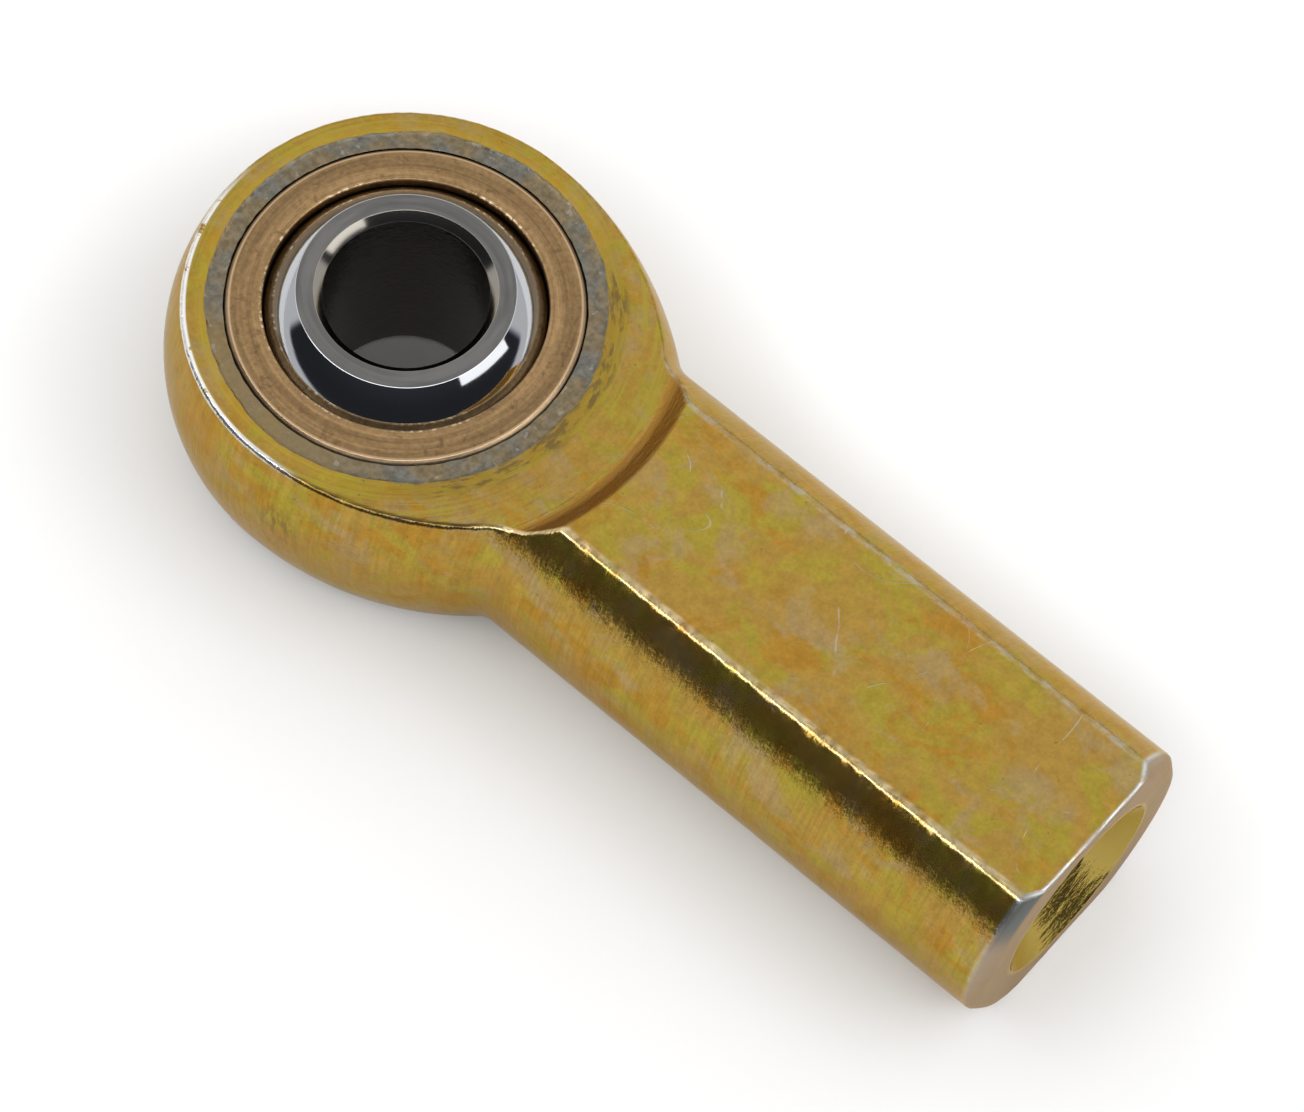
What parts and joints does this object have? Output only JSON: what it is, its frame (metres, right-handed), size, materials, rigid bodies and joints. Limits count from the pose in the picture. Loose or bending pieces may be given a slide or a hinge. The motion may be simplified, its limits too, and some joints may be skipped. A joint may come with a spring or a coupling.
{
  "type": "rod end bearing",
  "caption": "Female rod end bearing: a bored ball swivels in a bronze race staked into a steel head with a threaded shank and two wrench flats.",
  "frame": {"origin": "on the lower wrench flat's plane, at the middle of the part's length and width", "axes": "+X along the shank towards its threaded end, +Y across the head, +Z along the ball's bore"},
  "size_m": [0.0426, 0.0186, 0.0095],
  "materials": {
    "yellow_zinc_steel": "yellow zinc plate over turned steel",
    "race_bronze": "turned bronze",
    "hard_chrome": "polished, with ground flat faces"
  },
  "bodies": {
    "rod_end": {"rod_end_body": "yellow_zinc_steel", "upper_race_half": "race_bronze", "lower_race_half": "race_bronze"},
    "ball": {"ball": "hard_chrome"}
  },
  "joints": [
    {"name": "ball_tilt", "type": "hinge", "parent": "rod_end", "child": "ball", "pos_m": [-0.01202, 0, 0.00476], "axis": [1, 0, 0], "range_deg": [-14, 14]}
  ]
}
